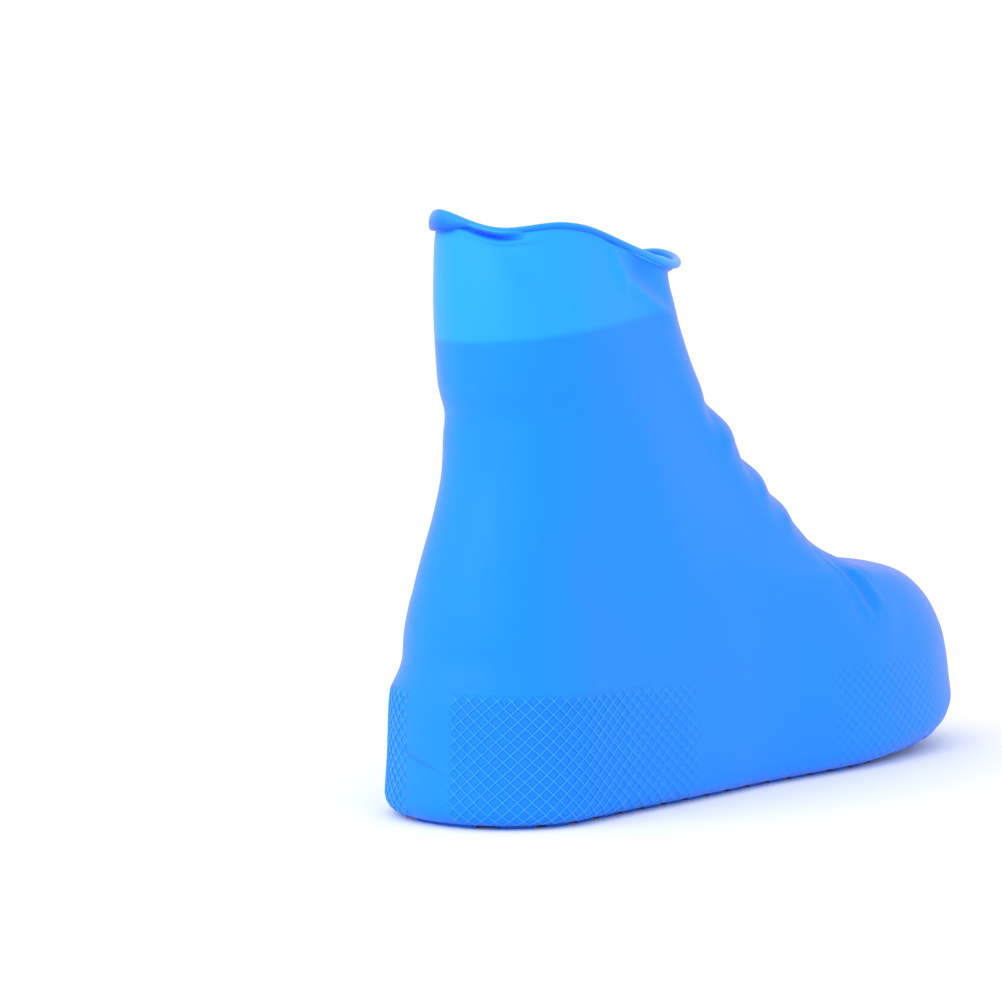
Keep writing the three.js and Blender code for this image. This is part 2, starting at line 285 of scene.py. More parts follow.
ROLLS: tuple[Roll, ...] = (
    Roll(-0.055, 0.0014, 0.0037, 0.0049, 0.0, 0.38),
    Roll(0.005, 0.0011, 0.0011, 0.0, 0.0, 0.5),
    Roll(0.17, 0.0013, 0.0013, 0.0, 0.0, 0.5),
    Roll(0.46, 0.0016, 0.0015, -0.0003, 0.0027, 0.7),
    Roll(0.57, 0.0008, 0.0008, 0.0, 0.0, 0.6),
    Roll(0.66, 0.0006, 0.0006, 0.0, 0.0, 0.6),
    Roll(0.8, 0.0009, 0.0009, 0.0, 0.0, 0.5),
    Roll(0.945, 0.0014, 0.0037, 0.0049, 0.0, 0.38),
    Roll(1.005, 0.0011, 0.0011, 0.0, 0.0, 0.5),
)


def table_column(table: Sequence[Crest | Roll], turn: np.ndarray, column: str) -> np.ndarray:
    """Reads a column of a table of turns, eased from one row to the next.

    Args:
        table: Rows in the order of their turns.
        turn: Shares of a whole turn.
        column: Name of the column.

    Returns:
        Its values at those turns.
    """
    value = np.zeros_like(turn)
    for a, b in zip(table, table[1:]):
        here = (turn >= a.turn) & (turn <= b.turn)
        eased = smooth((turn[here] - a.turn) / (b.turn - a.turn))
        value[here] = mix(getattr(a, column), getattr(b, column), eased)
    return value


@dataclass(frozen=True)
class Skin:
    """A grid of points: rows up the cover, each a closed loop of evenly spaced columns."""

    points: np.ndarray

    def normals(self) -> np.ndarray:
        """Finds the outward directions at the grid's points.

        Returns:
            A unit vector for each point.
        """
        along = np.roll(self.points, -1, axis=1) - np.roll(self.points, 1, axis=1)
        up = np.gradient(self.points, axis=0)
        normal = np.cross(along, up)
        return normal / np.linalg.norm(normal, axis=2, keepdims=True)

    def moved(self, distance: Number) -> "Skin":
        """Moves every point along its normal.

        Args:
            distance: One length, or one for each point.

        Returns:
            The moved grid.
        """
        step = np.asarray(distance)
        if step.ndim == 2:
            step = step[:, :, None]
        return Skin(self.points + self.normals() * step)

    def evened(self, rows: int) -> "Skin":
        """Spaces the rows evenly along each column.

        Args:
            rows: Rows of the new grid.

        Returns:
            The evened grid.
        """
        steps = np.linalg.norm(np.diff(self.points, axis=0), axis=2)
        reach = np.vstack([np.zeros(steps.shape[1]), np.cumsum(steps, axis=0)])
        out = np.empty((rows, self.points.shape[1], 3))
        for column in range(self.points.shape[1]):
            want = np.linspace(0.0, reach[-1, column], rows)
            for axis in range(3):
                out[:, column, axis] = np.interp(want, reach[:, column], self.points[:, column, axis])
        return Skin(out)

    def at(self, turn: np.ndarray, rise: np.ndarray) -> tuple[np.ndarray, np.ndarray]:
        """Reads points and normals between the grid's own.

        Args:
            turn: Shares of a whole turn.
            rise: Shares of the way up the rows.

        Returns:
            Points and unit normals, one row each.
        """
        rows, columns = self.points.shape[:2]
        across = np.mod(turn, 1.0) * columns
        left = np.floor(across).astype(int)
        upwards = np.clip(rise, 0.0, 1.0) * (rows - 1)
        low = np.clip(np.floor(upwards).astype(int), 0, rows - 2)
        fx = (across - left)[:, None]
        fz = (upwards - low)[:, None]
        left, right = left % columns, (left + 1) % columns
        out = []
        for field in (self.points, self.normals()):
            below = mix(field[low, left], field[low, right], fx)
            above = mix(field[low + 1, left], field[low + 1, right], fx)
            out.append(mix(below, above, fz))
        points, normals = out
        return points, normals / np.linalg.norm(normals, axis=1, keepdims=True)


@dataclass(frozen=True)
class CoverForm:
    """The cover's own form, which every piece is drawn from.

    Stations are places along the foot, as shares of its length from the heel. The wave, the
    flare and the hold at the edge start at shares of the way up the film. A fold on one side
    fades out over side_blend at the middle, and a crease tapers by the power crease_taper.
    """

    ball_width: float = 0.101
    waist_width: float = 0.083
    heel_width: float = 0.077
    toe_shift: float = 0.007
    toe_spring: float = 0.012
    band_heel_height: float = 0.044
    band_toe_height: float = 0.036
    band_lean: float = 0.002
    heel_edge_radius: float = 0.006
    toe_edge_radius: float = 0.011
    collar_length: float = 0.096
    collar_width: float = 0.058
    collar_setback: float = 0.019
    collar_back_height: float = 0.190
    collar_front_height: float = 0.186
    rim_wave: float = 0.008
    fold_width: float = 0.006
    fold_depth: float = 0.002
    tread_depth: float = 0.0011
    film: float = 0.0012
    heel_station: float = 0.12
    waist_station: float = 0.42
    spring_station: float = 0.6
    ball_station: float = 0.72
    cap_power: float = 2.1
    wave_start: float = 0.72
    dense: int = 400
    crease_steps: int = 48
    crease_taper: float = 0.5
    side_blend: float = 0.012
    edge_hold: float = 0.008
    flare_start: float = 0.98

    @property
    def heel_x(self) -> float:
        """Back of the band."""
        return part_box(Node.BAND.value)[0][0]

    @property
    def toe_x(self) -> float:
        """Tip of the band."""
        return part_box(Node.BAND.value)[1][0]

    def station_x(self, share: float) -> float:
        """Place along the foot at a share of its length from the heel."""
        return mix(self.heel_x, self.toe_x, share)

    def spring(self, x: np.ndarray) -> np.ndarray:
        """Rise of the sole off the floor at x."""
        start = self.station_x(self.spring_station)
        return self.toe_spring * np.clip((x - start) / (self.toe_x - start), 0.0, 1.0) ** 2

    def wave(self, turn: np.ndarray) -> np.ndarray:
        """Lift of the rim at shares of a whole turn."""
        return self.rim_wave * table_column(WAVE, turn, "lift")

    def shift(self, x: np.ndarray) -> np.ndarray:
        """How far the foot's middle turns inwards at x."""
        waist = self.station_x(self.waist_station)
        return self.toe_shift * np.clip((x - waist) / (self.toe_x - waist), 0.0, 1.0) ** 2

    def half_width(self, loop: dict[str, float], share: np.ndarray) -> np.ndarray:
        """Half-width of a loop.

        Args:
            loop: The loop's sizes, as upper_loop and foot_loop give them.
            share: Places along the loop, from its back (0) to its front (1).

        Returns:
            Half-widths at those places.
        """
        length = math.hypot(loop["front_x"] - loop["back_x"], loop["front_z"] - loop["back_z"])
        to_waist = (share - self.heel_station) / (self.waist_station - self.heel_station)
        to_ball = (share - self.waist_station) / (self.ball_station - self.waist_station)
        rear = mix(loop["heel"], loop["waist"], smooth(to_waist))
        fore = mix(loop["waist"], loop["ball"], smooth(to_ball))
        wide = np.where(share < self.waist_station, rear, fore)

        def cap(distance: np.ndarray, size: float) -> np.ndarray:
            """Rounding of an end, from 0 at its tip to 1."""
            left = np.clip(1.0 - distance / size, 0.0, 1.0)
            return (1.0 - left**self.cap_power) ** (1.0 / self.cap_power)

        return wide * cap(share * length, loop["heel_cap"]) * cap((1 - share) * length, loop["toe_cap"])

    def loop_points(self, loop: dict[str, float], around: int) -> np.ndarray:
        """Draws a closed loop of evenly spaced points, symmetric about the foot's middle.

        Args:
            loop: The loop's sizes.
            around: Points round it, an even number.

        Returns:
            Points from the back along the outer side to the front and back along the inner side.
        """
        share = (1.0 - np.cos(np.pi * np.arange(self.dense + 1) / self.dense)) / 2.0
        side = np.stack(
            [
                mix(loop["back_x"], loop["front_x"], share),
                -self.half_width(loop, share),
                mix(loop["back_z"], loop["front_z"], share),
            ],
            axis=1,
        )
        reach = np.concatenate([[0.0], np.cumsum(np.linalg.norm(np.diff(side, axis=0), axis=1))])
        want = np.linspace(0.0, reach[-1], around // 2 + 1)
        half = np.stack([np.interp(want, reach, side[:, axis]) for axis in range(3)], axis=1)
        return np.vstack([half, half[-2:0:-1] * (1.0, -1.0, 1.0)])

    def upper_loop(self, share: float, around: int) -> np.ndarray:
        """Draws a loop of the upper.

        Args:
            share: Share of the way up its sections.
            around: Points round the loop.

        Returns:
            The loop's points.
        """
        t = share * (len(SECTIONS) - 1)
        row = Section(*(spline(column, t) for column in zip(*map(astuple, SECTIONS))))
        collar_back = self.heel_x + self.collar_setback
        collar_front = collar_back + self.collar_length
        collar = self.collar_width / 2
        points = self.loop_points(
            {
                "back_x": mix(self.heel_x + self.band_lean, collar_back, row.back),
                "back_z": mix(self.band_heel_height, self.collar_back_height, row.back_rise),
                "front_x": mix(self.toe_x - self.band_lean, collar_front, row.front),
                "front_z": mix(self.band_toe_height, self.collar_front_height, row.front_rise),
                "heel": mix(self.heel_width / 2 - self.band_lean, collar, row.heel),
                "waist": mix(self.waist_width / 2 - self.band_lean, collar, row.waist),
                "ball": mix(self.ball_width / 2 - self.band_lean, collar, row.ball),
                "heel_cap": row.heel_cap * self.heel_width,
                "toe_cap": row.toe_cap * self.ball_width,
            },
            around,
        )
        fade = smooth((share - self.wave_start) / (1.0 - self.wave_start))
        points[:, 2] += fade * self.wave(np.arange(around) / around)
        return points

    def foot_loop(self, around: int) -> np.ndarray:
        """Draws the cover's widest outline, just above the sole's edge, flat on the floor.

        Args:
            around: Points round the outline.

        Returns:
            The outline's points.
        """
        return self.loop_points(
            {
                "back_x": self.heel_x,
                "back_z": 0.0,
                "front_x": self.toe_x,
                "front_z": 0.0,
                "heel": self.heel_width / 2,
                "waist": self.waist_width / 2,
                "ball": self.ball_width / 2,
                "heel_cap": SECTIONS[0].heel_cap * self.heel_width,
                "toe_cap": SECTIONS[0].toe_cap * self.ball_width,
            },
            around,
        )

    def foot_inset(
        self, share_in: Number, share_up: Number, inwards: float, upwards: float, around: int
    ) -> np.ndarray:
        """Moves the foot's outline in and up off the sprung sole.

        Args:
            share_in: Move inwards, as a share of the lower edge's radius.
            share_up: Move upwards, as a share of the lower edge's radius.
            inwards: Further move inwards.
            upwards: Further move upwards.
            around: Points round the outline.

        Returns:
            The moved outline's points.
        """
        foot = self.foot_loop(around)
        along = np.roll(foot, -1, axis=0) - np.roll(foot, 1, axis=0)
        normal = np.stack([along[:, 1], -along[:, 0], np.zeros(around)], axis=1)
        normal /= np.linalg.norm(normal, axis=1, keepdims=True)
        waist = self.station_x(self.waist_station)
        radius = mix(
            self.heel_edge_radius,
            self.toe_edge_radius,
            smooth((foot[:, 0] - waist) / (self.toe_x - waist)),
        )
        moved = foot - normal * (share_in * radius + inwards)[:, None]
        moved[:, 2] = self.spring(foot[:, 0]) + share_up * radius + upwards
        return moved

    def fold_rise(self, points: np.ndarray, folds: Sequence[Fold]) -> np.ndarray:
        """How far folds move points outwards.

        Args:
            points: Points before the foot is bent, in any grid.
            folds: The folds.

        Returns:
            A distance for each point.
        """
        rise = np.zeros(points.shape[:-1])
        place = points[..., [0, 2]]
        for fold in folds:
            start = np.array([self.station_x(fold.from_x), fold.from_z * self.collar_front_height])
            run = np.array([self.station_x(fold.to_x), fold.to_z * self.collar_front_height]) - start
            t = np.clip(((place - start) @ run) / (run @ run), 0.0, 1.0)
            away = np.linalg.norm(place - start - t[..., None] * run, axis=-1)
            height = fold.rise * self.fold_depth * np.exp(-((away / (fold.width * self.fold_width)) ** 2))
            aside = fold.side.value * points[..., 1] / self.side_blend
            rise += height * (1.0 if fold.side is Side.BOTH else smooth(aside + 0.5))
        return rise

    def bent(self, points: np.ndarray) -> np.ndarray:
        """Turns the toe inwards and sets the form on the row's origin.

        Args:
            points: Symmetric points in any grid.

        Returns:
            The same points in the row's frame.
        """
        foot = self.foot_loop(self.dense)
        sides = foot[:, 1] + self.shift(foot[:, 0])
        out = points.copy()
        out[..., 1] += self.shift(points[..., 0]) - (sides.min() + sides.max()) / 2
        return out

    def crease_marks(self, skin: Skin) -> tuple[np.ndarray, np.ndarray]:
        """How the creases move a skin and paint shade into it.

        Args:
            skin: The film without creases.

        Returns:
            A distance and a tone of painted shade for each of the skin's points.
        """
        height = np.zeros(skin.points.shape[:2])
        tone = np.zeros(skin.points.shape[:2])
        steps = np.linspace(0.0, 1.0, self.crease_steps)
        for crease in CREASES:
            turns = mix(crease.from_turn, crease.to_turn, steps)
            line, _ = skin.at(turns, mix(crease.from_rise, crease.to_rise, steps))
            most = np.zeros(skin.points.shape[:2])
            for place, step in zip(line, steps):
                away = np.linalg.norm(skin.points - place, axis=2) / crease.width
                taper = math.sin(math.pi * step) ** self.crease_taper
                most = np.maximum(most, taper * np.exp(-(away**2)))
            height += crease.height * most
            tone += crease.tone * most
        return height, tone

    def folded_skin(self, rows: int, around: int) -> Skin:
        """Draws the film's outer skin with its folds, before the foot is bent.

        Args:
            rows: Rows up the film.
            around: Points round each row.

        Returns:
            The skin, its edge flared to meet the bead.
        """
        plain = Skin(np.stack([self.upper_loop(r / (rows - 1), around) for r in range(rows)]))
        rise = self.fold_rise(plain.points, FOLDS + FINE_FOLDS)
        rise[0] = 0.0
        share = np.linspace(0.0, 1.0, rows)[:, None]
        flare = smooth((share - self.flare_start) / (1.0 - self.flare_start))
        out = table_column(ROLLS, np.arange(around) / around, "out")
        return plain.moved(rise + flare * out)

    def upper_skin(self, rows: int, around: int) -> tuple[Skin, np.ndarray]:
        """Draws the film's outer skin with its folds and creases, before the foot is bent.

        Args:
            rows: Rows up the film.
            around: Points round each row.

        Returns:
            The skin, and each point's tone, which holds the creases' painted shade.
        """
        folded = self.folded_skin(rows, around)
        height, tone = self.crease_marks(folded)
        held = np.clip((1.0 - np.linspace(0.0, 1.0, rows)) / self.edge_hold, 0.0, 1.0)
        return folded.moved(height * held[:, None]), tone


def make_mesh(name: str, points: np.ndarray, faces: Sequence[Sequence[int]]) -> bpy.types.Object:
    """Makes a smooth-shaded mesh object with its place in its mesh.

    Args:
        name: Piece name.
        points: One row for each vertex.
        faces: Vertex numbers of each face, turning outwards.

    Returns:
        The object, linked to the scene.
    """
    mesh = bpy.data.meshes.new(name)
    mesh.from_pydata([tuple(p) for p in points.tolist()], [], faces)
    mesh.shade_smooth()
    mesh.set_sharp_from_angle(angle=math.radians(SHARP_DEGREES))
    mesh.validate()
    piece = bpy.data.objects.new(name, mesh)
    bpy.context.scene.collection.objects.link(piece)
    return piece


def ring_faces(rows: int, around: int, closed: bool) -> list[Face]:
    """Quads between neighbouring loops of a grid.

    Args:
        rows: Loops in the grid.
        around: Points in each loop.
        closed: Whether the last loop joins the first.

    Returns:
        The quads, turning outwards where the rows run up an outer skin.
    """
    faces = []
    for r in range(rows if closed else rows - 1):
        low, high = r * around, ((r + 1) % rows) * around
        for i in range(around):
            j = (i + 1) % around
            faces.append((low + i, low + j, high + j, high + i))
    return faces


def math_node(tree: bpy.types.NodeTree, operation: str, *terms: Socket | float) -> Socket:
    """Adds a sum of sockets and numbers.

    Args:
        tree: The material's nodes.
        operation: Blender's name for the sum.
        terms: Its terms in order.

    Returns:
        The result's socket.
    """
    node = tree.nodes.new("ShaderNodeMath")
    node.operation = operation
    for target, term in zip(node.inputs, terms):
        if isinstance(term, float):
            target.default_value = term
        else:
            tree.links.new(term, target)
    return node.outputs["Value"]


def range_node(
    tree: bpy.types.NodeTree, value: Socket, old: Span, new: Span, eased: bool = False
) -> Socket:
    """Adds a change of a value from one range to another, held at both ends.

    Args:
        tree: The material's nodes.
        value: The value's socket.
        old: The range that it comes in.
        new: The range that it goes out in.
        eased: Whether the change is soft at both ends.

    Returns:
        The result's socket.
    """
    node = tree.nodes.new("ShaderNodeMapRange")
    node.interpolation_type = "SMOOTHSTEP" if eased else "LINEAR"
    node.inputs["From Min"].default_value, node.inputs["From Max"].default_value = old
    node.inputs["To Min"].default_value, node.inputs["To Max"].default_value = new
    tree.links.new(value, node.inputs["Value"])
    return node.outputs["Result"]


def ramp_node(tree: bpy.types.NodeTree, tone: Socket, low: Colour, plain: Colour, high: Colour) -> Socket:
    """Adds a ramp of three colours, the second at the plain tone.

    Args:
        tree: The material's nodes.
        tone: The tone's socket.
        low: Colour at tone 0.
        plain: Colour at the plain tone.
        high: Colour at tone 1.

    Returns:
        The colour's socket.
    """
    node = tree.nodes.new("ShaderNodeValToRGB")
    node.color_ramp.elements[0].color = low
    node.color_ramp.elements[1].color = high
    node.color_ramp.elements.new(PLAIN_TONE).color = plain
    tree.links.new(tone, node.inputs["Fac"])
    return node.outputs["Color"]


def noise_node(tree: bpy.types.NodeTree, place: Socket, scale: float, detail: float) -> Socket:
    """Adds soft noise.

    Args:
        tree: The material's nodes.
        place: Place in the row's frame.
        scale: Lumps to a metre.
        detail: How many finer layers it has.

    Returns:
        The noise's socket.
    """
    node = tree.nodes.new("ShaderNodeTexNoise")
    node.inputs["Scale"].default_value = scale
    node.inputs["Detail"].default_value = detail
    tree.links.new(place, node.inputs["Vector"])
    return node.outputs["Fac"]


def axis_sockets(tree: bpy.types.NodeTree, place: Socket) -> tuple[Socket, Socket, Socket]:
    """Adds a split of a place into its x, y and z.

    Args:
        tree: The material's nodes.
        place: Place in the row's frame.

    Returns:
        The three sockets.
    """
    node = tree.nodes.new("ShaderNodeSeparateXYZ")
    tree.links.new(place, node.inputs["Vector"])
    return node.outputs["X"], node.outputs["Y"], node.outputs["Z"]


@dataclass(frozen=True)
class ThinGlowCollar:
    """Where the film thins out and is painted lighter, a painted glow of light coming through the thin
    film: above a line that climbs from back to front.

    The line's edge is soft. Towards the front the painted glow fades to the share faded.
    """

    back_x: float = -0.128
    front_x: float = -0.060
    back_z: float = 0.1560
    front_z: float = 0.1655
    soft: float = 0.0016
    fade_from_x: float = -0.086
    fade_to_x: float = -0.040
    faded: float = 0.2

    def mask(self, tree: bpy.types.NodeTree, place: Socket) -> Socket:
        """Adds nodes that tell where the thin film gets its painted glow.

        Args:
            tree: The material's nodes.
            place: Place in the row's frame.

        Returns:
            A socket with 1 where the film is thin.
        """
        x, _, z = axis_sockets(tree, place)
        line = range_node(tree, x, (self.back_x, self.front_x), (self.back_z, self.front_z))
        above = math_node(tree, "SUBTRACT", z, line)
        edge = range_node(tree, above, (-self.soft, self.soft), (0.0, 1.0), eased=True)
        fade = range_node(tree, x, (self.fade_from_x, self.fade_to_x), (1.0, self.faded), eased=True)
        return math_node(tree, "MULTIPLY", edge, fade)


@dataclass(frozen=True)
class HeelCrease:
    """A thin crease across the back of the heel, along a line in the view from behind, painted darker
    with painted shade and dented by a bump.

    The line has its height at the heel's middle and a slope. width and reach are the crease's
    half-width and half-length, the latter from its own middle, and it ends ahead of ahead_x.
    """

    height: float = 0.0201
    slope: float = 0.333
    width: float = 0.0012
    reach: float = 0.013
    middle: float = 0.0025
    ahead_x: float = -0.138
    painted_shade: float = 0.25
    depth: float = 0.0003

    def mask(self, tree: bpy.types.NodeTree, place: Socket) -> Socket:
        """Adds nodes that tell how near the crease is.

        Args:
            tree: The material's nodes.
            place: Place in the row's frame.

        Returns:
            A socket with 1 in the crease and 0 away from it.
        """

        def near(distance: Socket, reach: float) -> Socket:
            """Adds an easing from 1 at no distance to 0 at the reach."""
            return range_node(tree, math_node(tree, "ABSOLUTE", distance), (0.0, reach), (1.0, 0.0), True)

        x, y, z = axis_sockets(tree, place)
        line = math_node(tree, "MULTIPLY_ADD", y, self.slope, self.height)
        across = near(math_node(tree, "SUBTRACT", z, line), self.width)
        along = near(math_node(tree, "SUBTRACT", y, self.middle), self.reach)
        behind = math_node(tree, "LESS_THAN", x, self.ahead_x)
        return math_node(tree, "MULTIPLY", math_node(tree, "MULTIPLY", across, along), behind)


@dataclass(frozen=True)
class Latex:
    """A moulded latex finish.

    Each vertex has a tone: 0 takes the deep colour, PLAIN_TONE the plain one and 1 the light
    one; tones off the plain one are painted shade and painted highlight. A thin collar, painted
    lighter as a glow of light coming through it, shows only where the tone is plain, so that
    creases keep their painted shade.
    """

    name: str
    deep: Colour
    plain: Colour
    light: Colour
    thin_glow: Colour = (0.012, 0.34, 1.0, 1.0)
    collar: ThinGlowCollar | None = None
    crease: HeelCrease | None = None
    roughness: float = 0.5
    roughness_spread: float = 0.06
    speckle: float = 0.03
    cloud_scale: float = 28.0
    cloud_detail: float = 4.0
    grain: float = 0.12
    grain_scale: float = 260.0
    grain_detail: float = 3.0
    grain_depth: float = 0.0004
    reflectance: float = 0.2
    sheen: float = 0.3
    sheen_roughness: float = 0.35
    sheen_colour: Colour = (0.9, 0.42, 1.0, 1.0)

    def toned(self, tree: bpy.types.NodeTree, place: Socket) -> Socket:
        """Adds the nodes for the colour before clouding.

        Args:
            tree: The material's nodes.
            place: Place in the row's frame.

        Returns:
            The colour socket.
        """
        attribute = tree.nodes.new("ShaderNodeAttribute")
        attribute.attribute_name = TONE
        tone = shade = attribute.outputs["Fac"]
        # The heel crease is painted darker: painted shade in the crease.
        if self.crease is not None:
            mark = self.crease.mask(tree, place)
            shade = math_node(tree, "MULTIPLY_ADD", mark, -self.crease.painted_shade, tone)
        colour = ramp_node(tree, shade, self.deep, self.plain, self.light)
        if self.collar is None:
            return colour
        # Where the tone is plain, the thin collar is painted lighter: a painted glow of light coming
        # through the thin film.
        untoned = ramp_node(tree, tone, BLACK, WHITE, BLACK)
        thin_glow = math_node(tree, "MULTIPLY", untoned, self.collar.mask(tree, place))
        thin_glowed = tree.nodes.new("ShaderNodeMix")
        thin_glowed.data_type = "RGBA"
        thin_glowed.inputs["B"].default_value = self.thin_glow
        tree.links.new(colour, thin_glowed.inputs["A"])
        tree.links.new(thin_glow, thin_glowed.inputs["Factor"])
        return thin_glowed.outputs["Result"]

    def material(self) -> bpy.types.Material:
        """Builds the finish.

        Returns:
            The material.
        """
        material = bpy.data.materials.new(self.name)
        material.use_nodes = True
        tree = material.node_tree
        nodes, links = tree.nodes, tree.links
        shader = nodes["Principled BSDF"]
        shader.inputs["Specular IOR Level"].default_value = self.reflectance
        shader.inputs["Sheen Weight"].default_value = self.sheen
        shader.inputs["Sheen Roughness"].default_value = self.sheen_roughness
        shader.inputs["Sheen Tint"].default_value = self.sheen_colour
        place = nodes.new("ShaderNodeTexCoord").outputs["Object"]
        cloud = noise_node(tree, place, self.cloud_scale, self.cloud_detail)
        strength = range_node(tree, cloud, (0.0, 1.0), (1.0 - self.speckle, 1.0 + self.speckle))
        clouded = nodes.new("ShaderNodeVectorMath")
        clouded.operation = "SCALE"
        links.new(self.toned(tree, place), clouded.inputs["Vector"])
        links.new(strength, clouded.inputs["Scale"])
        links.new(clouded.outputs["Vector"], shader.inputs["Base Color"])
        rough = (self.roughness - self.roughness_spread, self.roughness + self.roughness_spread)
        links.new(range_node(tree, cloud, (0.0, 1.0), rough), shader.inputs["Roughness"])
        grain = noise_node(tree, place, self.grain_scale, self.grain_detail)
        relief = nodes.new("ShaderNodeBump")
        relief.inputs["Strength"].default_value = self.grain
        relief.inputs["Distance"].default_value = self.grain_depth
        links.new(grain, relief.inputs["Height"])
        links.new(relief.outputs["Normal"], shader.inputs["Normal"])
        if self.crease is not None:
            dent = nodes.new("ShaderNodeBump")
            dent.invert = True
            dent.inputs["Distance"].default_value = self.crease.depth
            links.new(self.crease.mask(tree, place), dent.inputs["Height"])
            links.new(relief.outputs["Normal"], dent.inputs["Normal"])
            links.new(dent.outputs["Normal"], shader.inputs["Normal"])
        return material


@dataclass
class Piece:
    """A dressed piece: its mesh in its finish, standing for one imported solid."""

    form: CoverForm
    finish: Latex
    node: Node
    slot: Slot
    name: str

    def dress(self, points: np.ndarray, faces: Sequence[Sequence[int]], tones: np.ndarray) -> None:
        """Makes the piece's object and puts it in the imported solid's place.

        Args:
            points: Vertices before the foot is bent.
            faces: Vertex numbers of each face.
            tones: A tone for each vertex.
        """
        piece = make_mesh(self.name, self.form.bent(points.reshape(-1, 3)), faces)
        layer = piece.data.attributes.new(TONE, "FLOAT", "POINT")
        layer.data.foreach_set("value", np.clip(tones.ravel(), 0.0, 1.0).astype(np.float32))
        self.finish_mesh(piece.data)
        piece.data.materials.append(self.finish.material())
        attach(piece, BODY)
        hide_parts(self.node.value)
        LOG.info("%s: %d vertices", piece.name, len(piece.data.vertices))

    def finish_mesh(self, mesh: bpy.types.Mesh) -> None:
        """Does a piece's own last work on its mesh, which is nothing for most."""


@dataclass
class UpperFilm(Piece):
    """The thin film over the vamp, instep, heel and ankle.

    The lining has every row above the share dense_from and a row in lining_step below it. Its
    tone lightens from the share glow_from up to the edge, where light comes through.
    """

    rows: int = 230
    around: int = 320
    lining_step: int = 5
    dense_from: float = 0.9
    tucked: float = 0.0009
    glow_from: float = 0.8
    glow_tone: float = 0.5

    def build(self) -> None:
        """Builds the film as a closed shell, open at the ankle, its edge tucked into the bead."""
        outer, tone = self.form.upper_skin(self.rows, self.around)
        lining = outer.moved(-self.form.film).points
        lining[0, :, 2] = outer.points[0, :, 2]
        edge = outer.points[-1] - outer.points[-2]
        edge *= self.tucked / np.linalg.norm(edge, axis=1, keepdims=True)
        outer.points[-1] += edge
        lining[-1] += edge
        dense = int(self.rows * self.dense_from)
        kept = [*range(self.rows - 1, dense, -1), *range(dense, 0, -self.lining_step), 0]
        points = np.vstack([outer.points, lining[kept]])
        glow = smooth((np.array(kept) / self.rows - self.glow_from) / (1.0 - self.glow_from))
        inside = np.repeat(self.glow_tone * glow[:, None], self.around, axis=1)
        tones = PLAIN_TONE + np.vstack([tone, inside])
        self.dress(points, ring_faces(self.rows + len(kept), self.around, True), tones)


@dataclass
class RolledRim(Piece):
    """The bead that the film's edge is rolled into.

    rows is the film's, whose last two give the bead its direction. hang_out is how far out a
    hanging part stands, as a share of its drop.
    """

    around: int = 480
    sides: int = 20
    rows: int = 130
    underside_painted_shade: float = -0.28
    hang_out: float = 0.5

    def build(self) -> None:
        """Builds the bead along the film's edge."""
        skin = self.form.folded_skin(self.rows, self.around)
        edge, below = skin.points[-1], skin.points[-2]
        normal = skin.normals()[-1]
        up = edge - below
        up /= np.linalg.norm(up, axis=1, keepdims=True)
        turn = np.arange(self.around) / self.around
        across, along, drop = (
            table_column(ROLLS, turn, column)[:, None] for column in ("across", "along", "drop")
        )
        centre = edge + up * (along - drop) + normal * (self.hang_out * drop - self.form.film / 2)
        angles = 2 * math.pi * np.arange(self.sides) / self.sides
        loops = []
        for angle in angles:
            loops.append(centre - up * along * math.cos(angle) + normal * across * math.sin(angle))
        # Painted shade on the bead's underside and painted highlight on its top.
        shade = self.underside_painted_shade * np.cos(angles)[:, None]
        tones = table_column(ROLLS, turn, "tone") + shade
        self.dress(np.stack(loops), ring_faces(self.sides, self.around, True), tones)


@dataclass(frozen=True)
class NetStop:
    """How strongly the net stands out at a share of the foot's length from the heel."""

    share: float
    strength: float


NET: tuple[NetStop, ...] = (
    NetStop(0.0, 0.75),
    NetStop(0.06, 0.9),
    NetStop(0.16, 0.8),
    NetStop(0.25, 0.5),
    NetStop(0.3, 0.4),
    NetStop(0.325, 0.0),
    NetStop(0.575, 0.0),
    NetStop(0.605, 0.2),
    NetStop(0.74, 0.18),
    NetStop(0.85, 0.0),
    NetStop(1.0, 0.0),
)


@dataclass(frozen=True)
class NetPlace:
    """A vertex of the net: where it is on the band, how far it stands out, and its tone, a painted
    highlight on ridges and painted shade in cells.
    """

    turn: float
    rise: float
    height: float
    tone: float


